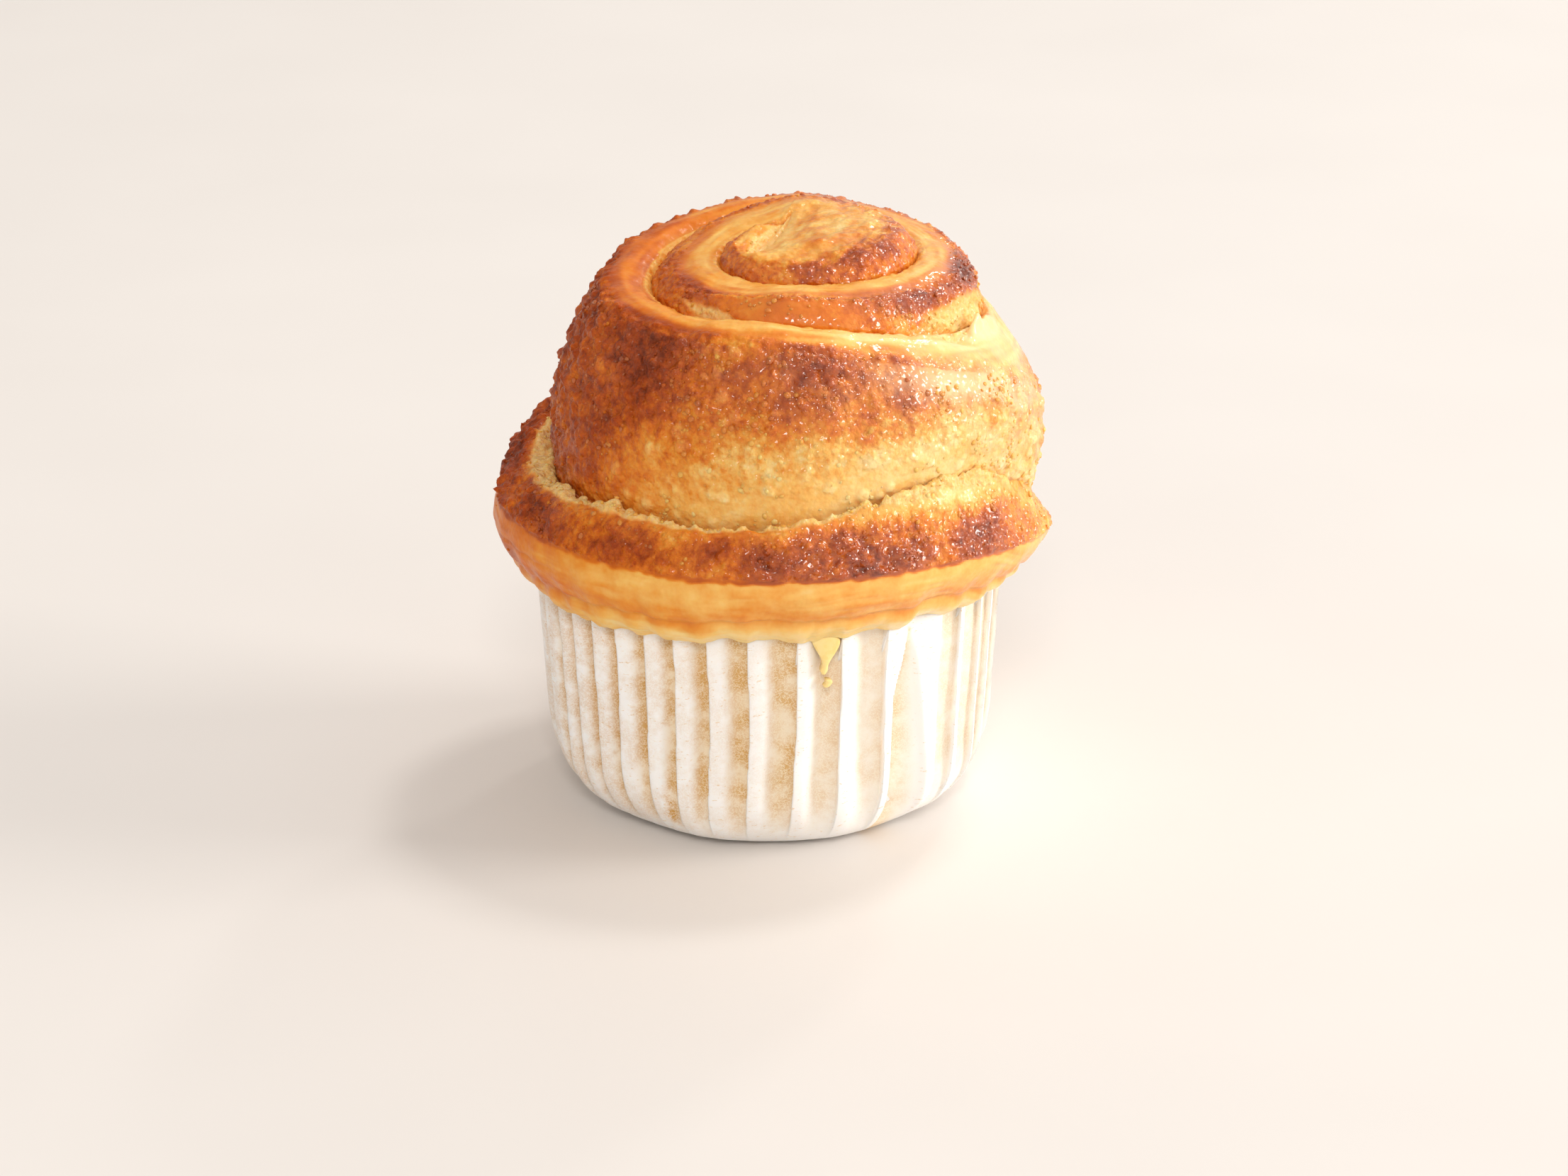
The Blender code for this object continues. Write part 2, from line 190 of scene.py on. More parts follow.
def waves(points, wavelength, seed=0):
    """Smooth noise between about -1 and 1, with swells one wavelength apart."""
    places = points / wavelength + seed * 17.3
    cell = np.floor(places).astype(np.int64)
    inside = places - cell
    fade = inside**3 * (inside * (inside * 6 - 15) + 10)
    total = np.zeros(points.shape[:-1])
    for corner in itertools.product((0, 1), repeat=3):
        corner = np.array(corner)
        value = np.sum(SLOPES[picked(cell + corner)] * (inside - corner), -1)
        share = np.prod(np.where(corner, fade, 1.0 - fade), -1)
        total += value * share
    return total * 1.6


def rough(points, wavelength, octaves, seed=0):
    """Noise of several octaves, each half as long and half as tall as the one before."""
    total = np.zeros(points.shape[:-1])
    for k in range(octaves):
        total += waves(points, wavelength / 2**k, seed + k) / 2**k
    return total


def along(angle):
    """The flat unit vector in this direction."""
    return np.stack([np.cos(angle), np.sin(angle), np.zeros_like(angle)], -1)


def up(height):
    return np.stack([np.zeros_like(height), np.zeros_like(height), height], -1)


def centre_of(turn):
    """The spiral's middle, which moves back onto the axis on the way down."""
    share = 1.0 - smooth(2.6, 3.5, turn)
    return np.stack([TOP_SHIFT_X * share, TOP_SHIFT_Y * share, np.zeros_like(turn)], -1)


def edge_height(angle):
    """Height of the case's edge, a little higher at the front right."""
    return CASE_HEIGHT + CASE_TILT * np.cos(angle - CASE_HIGH_SIDE)


def split_ring(angle):
    """The floor of the split, as a long thin loop round the line of the split."""
    back = np.array(SPLIT_BACK)
    front = np.array(SPLIT_FRONT)
    middle = (back + front) / 2
    half = (back - front) / 2
    heading = math.atan2(half[1], half[0])
    place = np.cos(angle - heading)[..., None]
    side = np.sin(angle - heading)[..., None]
    across = np.array([-math.sin(heading), math.cos(heading), 0.0])
    floor = middle + half * place + across * side * SPLIT_HALF_WIDTH
    return floor - up(SPLIT_DEPTH * (1.0 - place[..., 0] ** 4))


def crest_angles():
    """Directions of all pleat crests, once round."""
    front = [FRONT + math.radians(degrees) for degrees in FRONT_CRESTS]
    span = 2 * math.pi - (front[-1] - front[0])
    back = []
    for k in range(1, BACK_CRESTS + 1):
        place = k / (BACK_CRESTS + 1) + 0.006 * math.sin(2.6 * k)
        back.append(front[-1] + span * place)
    return np.array(front + back)


CRESTS = crest_angles()


def pleat_share(angle):
    """Where this direction lies between two crests: 0 on one, up to 1 on the next."""
    turned = np.mod(angle - CRESTS[0], 2 * math.pi) + CRESTS[0]
    edges = np.append(CRESTS, CRESTS[0] + 2 * math.pi)
    k = np.clip(np.searchsorted(edges, turned, side="right") - 1, 0, len(CRESTS) - 1)
    return (turned - edges[k]) / (edges[k + 1] - edges[k]), k


def base_ring(angle):
    """The lower edge of the dough, which sags a little over each crest of the case."""
    share = pleat_share(angle)[0]
    sag = np.maximum(near(share, 0.0, 0.3), near(share, 1.0, 0.3))
    place = along(angle) * CASE_RIM_RADIUS
    uneven = 0.45 * waves(place, 9.0, 81) + 0.55 * rough(place, 3.6, 3, 82)
    tooth = np.maximum(waves(place, 2.6, 85), 0.0) ** 2
    ring = along(angle) * (CASE_RIM_RADIUS + DOUGH_OVERLAP - 0.4 * (1.0 - sag))[..., None]
    return ring + up(edge_height(angle) + GAP - 0.35 * sag + 0.75 * uneven - 0.9 * tooth)


def rim_point(turn):
    angle = 2 * math.pi * turn
    radius = SPIRAL_START_RADIUS + SPIRAL_PITCH * turn + through(RIM, 2, turn * 8)
    return centre_of(turn) + along(angle) * radius[..., None] + up(through(RIM, 1, turn * 8))


def foot_point(turn):
    """The outer foot, which is also where the next turn's section begins."""
    angle = 2 * math.pi * turn
    inner = np.minimum(turn * 8, 25.0)
    step = along(angle) * through(FOOT, 2, inner)[..., None] - up(through(FOOT, 1, inner))
    free = rim_point(turn) + step
    at_base = smooth(END_TURN - 1.12, END_TURN - 1.0, turn)[..., None]
    at_start = 1.0 - smooth(START_TURN, START_TURN + STRIP_START_TAPER, turn)[..., None]
    free = free + (base_ring(angle) - free) * at_base
    return free + (split_ring(angle) - free) * at_start


def inner_point(turn):
    """The inner foot: the foot one turn earlier, or the split's floor on the first turn."""
    angle = 2 * math.pi * turn
    first = (turn < START_TURN + 1.0)[..., None]
    return np.where(first, split_ring(angle), foot_point(np.maximum(turn - 1.0, START_TURN)))


def strip_share(turn):
    """How much of the strip's full size it has here: it runs out to nothing at both ends."""
    start = smooth(START_TURN, START_TURN + STRIP_START_TAPER, turn)
    end = 1.0 - smooth(END_TURN - STRIP_END_TAPER, END_TURN, turn)
    return start * end


def section_points(turn, part, share):
    """Points of the strip's section. part is 0 from inner foot to lip, 1 on the top, 2 down the wall."""
    out = along(2 * math.pi * turn)
    inner = inner_point(turn)
    foot = foot_point(turn)
    size = strip_share(turn)[..., None]
    lip = inner + (out * through(LIP, 2, turn * 8)[..., None] + up(through(LIP, 1, turn * 8))) * size
    rim = inner + (rim_point(turn) - inner) * size
    u = share[..., None]
    rise = lip + (inner - lip) * (1.0 - u)
    crown = up(through(CROWN, 1, turn * 8) * 4 * share * (1.0 - share)) * size
    top = lip + (rim - lip) * u + crown
    swell = through(BULGE, 1, turn * 8) * np.sin(math.pi * share**0.85) * strip_share(turn)
    wall = rim + (foot - rim) * u + out * swell[..., None]
    part = part[..., None]
    return np.where(part == 0, rise, np.where(part == 1, top, wall))


def arc_of(turn):
    """Length in mm along the strip from the spiral's middle."""
    return 2 * math.pi * (SPIRAL_START_RADIUS * turn + SPIRAL_PITCH * turn**2 / 2)


def even_turns(first, last, columns):
    """Phases at even steps along the strip."""
    fine = np.linspace(first, last, 4000)
    return np.interp(np.linspace(arc_of(first), arc_of(last), columns + 1), arc_of(fine), fine)


def even_sections(turns, rows):
    """Each section as points at even steps, with its place: 0 inner foot, 1 lip, 2 rim, 3 outer foot."""
    place = np.linspace(0.0, 3.0, 151)
    part = np.minimum(place.astype(int), 2)
    fine = section_points(*np.broadcast_arrays(turns[:, None], part, place - part))
    run = np.cumsum(np.linalg.norm(np.diff(fine, axis=1), axis=2), axis=1)
    run = np.concatenate([np.zeros((len(turns), 1)), run], 1)
    points = np.empty((len(turns), rows + 1, 3))
    places = np.empty((len(turns), rows + 1))
    for i in range(len(turns)):
        wanted = np.linspace(0.0, run[i, -1], rows + 1)
        places[i] = np.interp(wanted, run[i], place)
        for axis in range(3):
            points[i, :, axis] = np.interp(wanted, run[i], fine[i, :, axis])
    return points, places, run[:, -1:]


def eased(grid, passes):
    """The grid with its sections rounded by this many passes at each point, their two ends held."""
    for k in range(math.ceil(passes.max())):
        share = np.clip(passes[:, 1:-1] - k, 0.0, 1.0)[..., None] / 4
        grid[:, 1:-1] += share * (grid[:, :-2] - 2 * grid[:, 1:-1] + grid[:, 2:])
    return grid


def normals_of(grid):
    """Outward unit normals of a grid whose first axis runs round and second runs outwards."""
    round_way = np.gradient(grid, axis=0)
    out_way = np.gradient(grid, axis=1)
    normal = np.cross(out_way, round_way)
    return normal / np.maximum(np.linalg.norm(normal, axis=-1, keepdims=True), 1e-9)


def pebbles(points, size, seed=0):
    """Rounded grains of about this size: (height from 0 to 1, a number of its own for each grain)."""
    places = points / size + seed * 9.7
    cell = np.floor(places).astype(np.int64)
    nearest = np.full(points.shape[:-1], 9.0)
    own = np.zeros(points.shape[:-1])
    for offset in itertools.product((-1, 0, 1), repeat=3):
        around = cell + np.array(offset)
        pick = picked(around)
        seat = around + 0.5 + 0.42 * SLOPES[pick]
        distance = np.linalg.norm(places - seat, axis=-1)
        closer = distance < nearest
        nearest = np.where(closer, distance, nearest)
        own = np.where(closer, pick / 255.0, own)
    return np.clip(1.0 - nearest**2 / 0.5, 0.0, 1.0), own


# Grains on the crust: name, how many on each stretch, half sizes, height's share, how much paler, glass.
GRAINS = (
    ("crust_crumbs", (90, 420, 460), (0.12, 0.34), 0.8, 0.0, 0.0),
    ("crust_blisters", (80, 1300, 560), (0.16, 0.50), 0.55, 0.01, 0.5),
)

# What the strip's finish reads at each point, and its value inside the dough.
FIELDS = {"brown": 0.2, "grain": 0.3, "torn": 0.6, "pale": 0.0, "gloss": 0.5}


class Strip:
    """One stretch of the dough strip: its points and what its finish depends on."""

    def __init__(self, first, last, columns, rows, rounding):
        turns = even_turns(first, last, columns)
        points, place, length = even_sections(turns, rows)
        self.turn = turns[:, None] + 0 * place
        self.eighth = self.turn * 8
        self.collar = smooth(25.0, 27.0, self.eighth)
        sharp_lip = 1.0 - 0.7 * self.collar * near(place, 1.0, 0.12)
        passes = 2.0 * (rounding * sharp_lip * rows / np.maximum(length, 0.1)) ** 2
        self.points = eased(points, np.minimum(passes, 150.0))
        self.place = place
        self.top = (place >= 1.0) * (place < 2.0) * 1.0
        self.wall = (place >= 2.0) * 1.0
        self.share = place - np.minimum(place.astype(int), 2)
        self.normals = normals_of(self.points)
        steps = np.arange(rows + 1)[None] / rows
        self.run = steps * length
        self.hold = smooth(0.0, 0.7, self.run) * smooth(0.0, 0.9, length - self.run) * strip_share(self.turn)
        self.lines = np.stack([arc_of(self.turn), self.run, 0 * self.run], -1)
        self.set_fields()
        self.raise_relief()

    def set_fields(self):
        """Where the strip is browned, granular, smooth or torn."""
        e, collar = self.eighth, self.collar
        inner = (1 - self.wall) * (1 - self.top)
        rim = through(RIM_BROWN, 1, e) + 0.07 * waves(self.points, 6.0, 71)
        wall, top = self.wall_brown(rim), self.top_brown(rim)
        self.base = self.wall * wall + self.top * top + inner * (0.28 + 0.27 * collar)
        for *spot, amount in PATCHES:
            self.base = self.base + amount * self.spot(*spot)
        self.grain = self.grain_field() + inner * 0.6
        self.torn = self.torn_field()

    def spot(self, eighth, place, reach, width):
        """1 at this place of the strip, falling off over these reaches along and across it."""
        return near(self.eighth, eighth, reach) * near(self.place, place, width)

    def wall_brown(self, rim):
        """Browning of the wall: from rim to foot on the dome, in bands on the collar."""
        e, s, p = self.eighth, self.share, self.points
        foot = through(FOOT_BROWN, 1, e)
        wall = rim + (foot - rim) * np.clip((s - 0.12) / 0.82, 0.0, 1.0) ** 1.05
        uneven = s + 0.10 * waves(p, 6.0, 79) + 0.06 * waves(p, 2.2, 80)
        wall = wall + (0.08 - wall) * 0.88 * near(e, PALE_FRONT, 1.1) * smooth(0.36, 0.58, uneven)
        band = near(s, 0.54 + 0.05 * waves(p, 9.0, 76), 0.16)
        side = 0.20 + 0.30 * (1.0 - smooth(28.2, 29.6, e)) + 0.12 * band
        side = side - 0.18 * smooth(0.66, 0.84, s)
        brim = 0.035 + 0.035 * waves(p, 3.2, 72) + 0.03 * waves(p, 1.4, 73)
        side = side + (rim - side) * (1.0 - smooth(brim - 0.015, brim + 0.025, s))
        return wall + (side - wall) * self.collar

    def top_brown(self, rim):
        """Browning of the top face: pale inside, brown towards the rim, with painted shade on the band at the
        left and painted light at the right front.
        """
        e, s, p = self.eighth, self.share, self.points
        # Browner on the band at the left (near eighth 19.6): painted shade. Paler at the right front (near
        # eighth 23): painted light.
        pale = 0.27 + 0.28 * near(e, 19.6, 1.3) - 0.20 * near(e, 23.0, 1.3) - 0.08 * near(e, 14.5, 1.2)
        streaks = waves(np.stack([arc_of(self.turn) / 11.0, self.run / 1.1, 0 * s], -1), 1.0, 36)
        start = 0.25 + 0.43 * (1.0 - smooth(8.0, 10.5, e)) + 0.18 * near(e, 21.8, 1.2)
        top = pale + (rim - pale) * smooth(start, 1.05, s + 0.12 * streaks) ** 1.1 + 0.12 * streaks
        drift = s + 0.16 * waves(p, 5.0, 74) + 0.07 * waves(p, 1.8, 75)
        golden = 0.48 - 0.15 * smooth(29.6, 30.4, e)
        inset = 0.16 * smooth(29.9, 30.9, e)
        crust_top = golden + (rim + 0.02 - golden) * smooth(0.20 + inset, 0.62 + inset, drift)
        top = top + (crust_top - top) * self.collar
        return top + 0.16 * rough(p, 3.4, 3, 77) * (1.0 - smooth(8.0, 10.0, e))

    def grain_field(self):
        """How granular wall and top are: least on the collar's side, the pale foot and smooth stretches."""
        e, s, collar = self.eighth, self.share, self.collar
        low_pale = near(e, PALE_FRONT + 0.1, 1.3) * smooth(0.45, 0.8, s)
        even = near(e, 13.9, 0.7) * (s > 0.06) + 0.85 * near(e, 22.95, 0.35) * (1.0 - smooth(0.1, 0.3, s))
        wall = (1.0 - 0.8 * low_pale) * (1.0 - 0.95 * collar) * np.clip(1.0 - 0.9 * even, 0.0, 1.0)
        plain = 0.08 + 0.26 * (1.0 - smooth(9.0, 11.0, e))
        top = (plain + (1.0 - plain) * smooth(0.66, 0.94, s)) * (1.0 - collar)
        return self.wall * wall + self.top * (top + collar * (0.45 + 0.55 * smooth(0.2, 0.5, s)))

    def torn_field(self):
        """Where the crumb is laid bare: the collar's inner lip, the split, a peeled layer, the right side."""
        e, p = self.eighth, self.points
        ragged = 0.10 * rough(p, 3.0, 2, 44)
        reach = 1.15 + 0.28 * near(e, 27.8, 1.3) + 0.10 * near(e, 31.0, 0.5) + ragged
        edge = smooth(0.5, 0.8, self.place) * (1.0 - smooth(reach - 0.04, reach + 0.06, self.place))
        collar_lip = edge * smooth(25.8, 26.8, e) * (1.0 - smooth(31.2, 31.6, e))
        split = (1.0 - smooth(0.95, 1.15, self.place + ragged)) * (1.0 - smooth(8.6, 9.4, e))
        split = split * np.where(e < 6, 1.0, 0.6)
        bared = sum(self.spot(*spot) for spot in BARED)
        bared = smooth(0.25, 0.6, bared + 1.5 * ragged) * 0.8
        return np.clip(collar_lip + split + self.peel()[1] + bared, 0.0, 1.0)

    def peel(self):
        """The layer that peels off the second turn's wall: its step, and the dough bared beside it."""
        e, s = self.eighth, self.share
        edge = 13.05 + 0.65 * s + 0.05 * waves(self.points, 1.6, 15)
        on = self.wall * (e > 12.0) * (e < 15.2)
        step = on * smooth(-0.03, 0.03, e - edge) * (1.0 - smooth(14.2, 15.2, e))
        bared = on * smooth(-0.5, -0.3, e - edge) * (1.0 - smooth(-0.02, 0.02, e - edge))
        return step, bared * smooth(0.25, 0.5, s) * 0.9

    def raise_relief(self):
        """Moves the points out by lumps, crumb, layers and torn edges, then sets the finish by them."""
        p, e, collar = self.points, self.eighth, self.collar
        burnt = smooth(0.52, 0.76, self.base)
        pits, own = pebbles(p, 0.95, 5)
        blister, number = pebbles(p, 1.9, 8)
        blister = smooth(0.35, 0.8, blister) * (number > 0.74) * self.wall * (1.0 - collar)
        blister = blister * smooth(15.0, 18.0, e) * (1.0 - 0.8 * burnt)
        layers, crease, roll = self.layer_relief()
        torn = self.torn * (0.25 + 0.40 * collar + 0.35 * near(e, 15.5, 0.6))
        torn = torn * (rough(p, 2.1, 3, 41) + 0.25 * pits)
        out = self.skin_relief(burnt, pits) + 0.3 * blister + 0.085 * layers + crease + roll
        out = out + 0.55 * self.peel()[0] + torn
        self.points = p + self.normals * (out * self.hold)[..., None]
        self.points = self.points + up(self.lip_lift(p) * self.hold)
        # Slightly browner in the creases of the collar's side: painted shade.
        brown = self.mottled(p, pits, own) + 0.10 * layers - 0.10 * blister - 0.10 * crease
        brown = brown + (0.15 - brown) * 0.8 * self.torn
        self.brown = np.clip(brown, 0.0, 1.0)
        self.set_shine(p, burnt, blister)

    def skin_relief(self, burnt, pits):
        """Swells, the plateau's wrinkles and bubble, and grains, with crags where it is burnt."""
        p, e = self.points, self.eighth
        swells = (0.42 * waves(p, 11.0, 1) + 0.24 * waves(p, 5.0, 2)) * smooth(8.0, 20.0, e)
        swells = swells + self.top * (0.16 * waves(p, 4.2, 9) + 0.09 * waves(p, 2.0, 10))
        x, y, reach, height = BUBBLE
        bubble = height * near(np.hypot(p[..., 0] - x, p[..., 1] - y), 0.0, reach)
        swells = swells + self.top * (e < 10) * (0.24 * rough(p, 3.0, 3, 11) + bubble)
        clusters = smooth(-0.30, 0.30, rough(p, 4.5, 2, 29))
        grain = self.grain * (0.30 + 0.70 * np.maximum(clusters, burnt))
        big = pebbles(p, 1.6, 3)[0]
        crags = 0.50 * np.maximum(rough(p, 2.8, 3, 23), -0.2) + 0.22 * big
        crumb = 0.22 * big + 0.30 * pits + 0.16 * rough(p, 1.2, 2, 13)
        return swells + grain * (crumb + burnt * crags * (0.4 + 0.6 * smooth(13.0, 18.0, e)))

    def layer_relief(self):
        """(threads of the layers, creases, the rolled lower edge) that run along the strip."""
        s, collar = self.share, self.collar
        threads = waves(self.lines / np.array([9.0, 1.25, 1.0]), 1.0, 31)
        threads = threads + 0.8 * waves(self.lines / np.array([4.0, 0.5, 1.0]), 1.0, 32)
        threads = threads * smooth(-0.5, 0.4, waves(self.points, 5.0, 34))
        layered = self.wall * collar + self.top * (1.0 - collar) * (1.0 - smooth(0.5, 0.85, s))
        fold = waves(self.lines / np.array([30.0, 60.0, 1.0]), 1.0, 33)
        side = self.wall * collar
        crease = -0.34 * side * near(s, 0.66 + 0.05 * fold, 0.05)
        crease = crease - 0.2 * side * near(s, 0.30 + 0.08 * fold, 0.02) * smooth(0.0, 0.4, fold)
        return threads * layered, crease, 0.4 * side * near(s, 0.82 + 0.03 * fold, 0.12)

    def lip_lift(self, p):
        """How far the inner lip is torn up and down, with the flake and its notch."""
        level = p * np.array([1, 1, 0.2])
        blocks = smooth(-0.10, 0.10, waves(level, 3.6, 54)) + smooth(-0.06, 0.06, waves(level, 2.1, 55)) - 1.0
        ragged = 0.7 * waves(level, 6.5, 52) + 0.42 * blocks + 0.45 * rough(level, 1.9, 2, 53)
        edge = near(self.place, 1.05, 0.20) * (0.22 + 0.78 * self.collar)
        *flake, height = FLAKE
        *notch, depth = NOTCH
        raised = height * self.spot(*flake) * (0.7 + 0.9 * waves(p, 1.5, 57)) - depth * self.spot(*notch)
        return 0.72 * ragged * edge + raised

    def mottled(self, p, pits, own):
        """The browning with drifts, islands and grains of its own."""
        brown = self.base + 0.10 * rough(p, 9.0, 2, 3) * (0.4 + 0.6 * self.grain)
        brown = brown + 0.07 * rough(p, 2.6, 3, 6) * (1.0 - self.grain)
        islands = smooth(0.0, 0.45, rough(p, 1.5, 2, 91)) - 0.4
        spots = 0.14 * rough(p, 4.2, 3, 7) + 0.09 * islands + 0.12 * (pits - 0.5) + 0.05 * (own - 0.5)
        return brown + self.grain * spots

    def set_shine(self, p, burnt, blister):
        """Where the skin shows paler than its browning: small blisters, the flake, and painted light on the
        dome's lit right side; and how it is glazed.
        """
        e, dome, across = self.eighth, 1.0 - self.collar, p[..., 0]
        # The dome's lit right side is painted paler here: painted light.
        lit = near(e, 23.5, 0.8) * (0.5 + 0.6 * waves(p, 4.0, 97))
        lit = lit + 0.9 * near(e, 23.1, 0.7) * self.wall * near(self.share, 0.10, 0.12)
        eighth, place, reach, width, _ = FLAKE
        flake = self.spot(eighth, place, reach, 3 * width)
        self.pale = np.clip(0.12 * blister + 0.9 * lit * dome * (1.0 - burnt) + flake, 0.0, 1.0)
        buttered = 0.12 + 0.88 * smooth(-22.0, 20.0, across) + 0.25 * waves(p, 7.0, 78)
        dull = 0.6 * self.top * dome * (1.0 - smooth(-6.0, 12.0, across))
        self.gloss = np.clip(buttered, 0.05, 1.0) * (1.0 - 0.7 * self.torn) * (1.0 - dull)


def add_faces(faces, grid, start=0):
    """Faces over a grid of points that are numbered from start, facing out."""
    numbers = start + np.arange(grid[..., 0].size).reshape(grid.shape[:2])
    quads = np.stack([numbers[:-1, :-1], numbers[:-1, 1:], numbers[1:, 1:], numbers[1:, :-1]], -1)
    faces.append(quads.reshape(-1, 4))


def mesh_object(name, points, faces, material, fields=None):
    """A shaded mesh object from points in millimetres, with its float fields as vertex attributes."""
    mesh = bpy.data.meshes.new(name)
    mesh.from_pydata((points * MM).tolist(), [], [tuple(dict.fromkeys(face)) for face in faces])
    mesh.validate()
    for field, values in (fields or {}).items():
        mesh.attributes.new(field, "FLOAT", "POINT").data.foreach_set("value", values.astype(np.float32))
    mesh.shade_smooth()
    mesh.materials.append(material)
    obj = bpy.data.objects.new(name, mesh)
    bpy.context.scene.collection.objects.link(obj)
    return obj


def welded(points, faces, fields, within=0.002):
    """One vertex for each place, and no faces that fell together."""
    keys = np.round(points / within).astype(np.int64)
    _, first, index = np.unique(keys, axis=0, return_index=True, return_inverse=True)
    faces = index.reshape(-1)[faces]
    ordered = [list(dict.fromkeys(face)) for face in faces.tolist()]
    ordered = [face for face in ordered if len(face) > 2]
    return points[first], ordered, {name: values[first] for name, values in fields.items()}


def pastry_body(angles, top):
    """Rings of the dough inside the case, from the dough's edge to a closed floor."""
    rings = [top]
    for level in (0.98, 0.9, 0.6, 0.3, 0.12, 0.05):
        height = level * edge_height(angles)
        radius = case_radius(height) - PLEAT_DEPTH - 1.4
        rings.append(along(angles) * radius[:, None] + up(height))
    rings.append(along(angles) * 4.0 + up(np.full_like(angles, 1.0)))
    rings.append(up(np.full_like(angles, 1.0)))
    return np.stack(rings, 1)


def case_radius(height):
    """Outer radius of the case over its crests at this height."""
    straight = CASE_LOW_RADIUS + (CASE_RIM_RADIUS - CASE_LOW_RADIUS) * height / CASE_HEIGHT
    drop = np.clip(CASE_CORNER_RADIUS - height, 0.0, CASE_CORNER_RADIUS) / CASE_CORNER_RADIUS
    return straight - CASE_CORNER_RADIUS * (1.0 - np.sqrt(1.0 - drop**2))


def closing_rings(name, strip):
    """What closes this stretch: the floor of the split on the first, the dough in the case on the last."""
    if name == STRETCHES[0][0]:
        turns = even_turns(START_TURN, START_TURN + 1.0, 200)
        ring = split_ring(2 * math.pi * turns)
        middle = (np.array(SPLIT_BACK) + np.array(SPLIT_FRONT)) / 2 - np.array([0, 0, SPLIT_DEPTH])
        return np.stack([np.broadcast_to(middle, ring.shape), ring], 1)
    on = strip.turn[:, 0] >= END_TURN - 1.0
    return pastry_body(2 * math.pi * strip.turn[on, 0], strip.points[on, -1])


def pastry(material):
    """The dough, one mesh for each stretch of the strip."""
    strips = []
    for name, *sizes in STRETCHES:
        strip = Strip(*sizes)
        faces = []
        add_faces(faces, strip.points)
        points = [strip.points.reshape(-1, 3)]
        fields = {field: [getattr(strip, field).reshape(-1)] for field in FIELDS}
        if name != "pastry_dome":
            rings = closing_rings(name, strip)
            add_faces(faces, rings, strip.brown.size)
            points.append(rings.reshape(-1, 3))
            for field, value in FIELDS.items():
                fields[field].append(np.full(rings[..., 0].size, value))
        joined = {field: np.concatenate(values) for field, values in fields.items()}
        points, faces, joined = welded(np.concatenate(points), np.concatenate(faces), joined)
        made = mesh_object(name, points, faces, material, joined)
        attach(made, "root")
        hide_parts("pastry")
        strips.append(strip)
    return strips


def crumb_shape():
    """Points and faces of one small grain."""
    bpy.ops.mesh.primitive_ico_sphere_add(subdivisions=2, radius=1.0)
    ball = bpy.context.object
    points = np.array([v.co[:] for v in ball.data.vertices])
    faces = np.array([f.vertices[:] for f in ball.data.polygons])
    bpy.data.objects.remove(ball)
    return points, faces


def seat_axes(normal):
    """Axes of a grain that lies flat on this normal, turned at random about it."""
    side = np.cross(normal, rng.normal(size=3))
    side = side / np.linalg.norm(side)
    return np.stack([side, np.cross(normal, side), normal], 1)


def wished(name, strip):
    """Where grains of this kind gather: crumbs on browned and torn places, blisters over the dome's wall."""
    if name == "crust_crumbs":
        places = strip.grain * smooth(0.42, 0.7, strip.base) + 0.8 * strip.torn
        return places * smooth(-0.2, 0.5, waves(strip.points, 5.0, 95))
    dome = strip.wall * (1.0 - strip.collar) * smooth(12.0, 17.0, strip.eighth)
    golden = strip.top * strip.collar * (1.0 - smooth(0.5, 0.75, strip.base))
    places = (dome + 0.5 * golden) * (1.0 - 0.7 * smooth(0.6, 0.8, strip.base))
    return places * (0.06 + smooth(0.0, 0.5, rough(strip.points, 4.5, 2, 96)))


def grains(strips, material):
    """Crumbs stuck to the crust, and the small blisters of its skin."""
    shape, shape_faces = crumb_shape()
    for name, amounts, sizes, height, paler, glassy in GRAINS:
        points, faces = [], []
        fields = {field: [] for field in FIELDS}
        for strip, amount in zip(strips, amounts):
            wish = (strip.hold * wished(name, strip)).reshape(-1)
            seats, normals = strip.points.reshape(-1, 3), strip.normals.reshape(-1, 3)
            for pick in rng.choice(wish.size, amount, replace=False, p=wish / wish.sum()):
                reach = sizes[0] + (sizes[1] - sizes[0]) * rng.random() ** 2
                size = reach * np.array([1.0, rng.uniform(0.6, 1.0), height])
                grain = shape * (1.0 + 0.22 * waves(shape + rng.uniform(0, 90, 3), 0.9, 4))[:, None]
                faces.append(shape_faces + len(points) * len(shape))
                points.append(seats[pick] + (grain * size) @ seat_axes(normals[pick]).T)
                tone = np.clip(strip.brown.reshape(-1)[pick] - paler + rng.normal(0.0, 0.06), 0.05, 0.9)
                shine = max(strip.gloss.reshape(-1)[pick], glassy)
                finish = (tone, 0.0 if glassy else 0.3, 0.0, 0.15 * glassy, shine)
                for field, value in zip(FIELDS, finish):
                    fields[field].append(np.full(len(shape), value))
        joined = {field: np.concatenate(values) for field, values in fields.items()}
        made = mesh_object(name, np.concatenate(points), np.concatenate(faces).tolist(), material, joined)
        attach(made, "root")


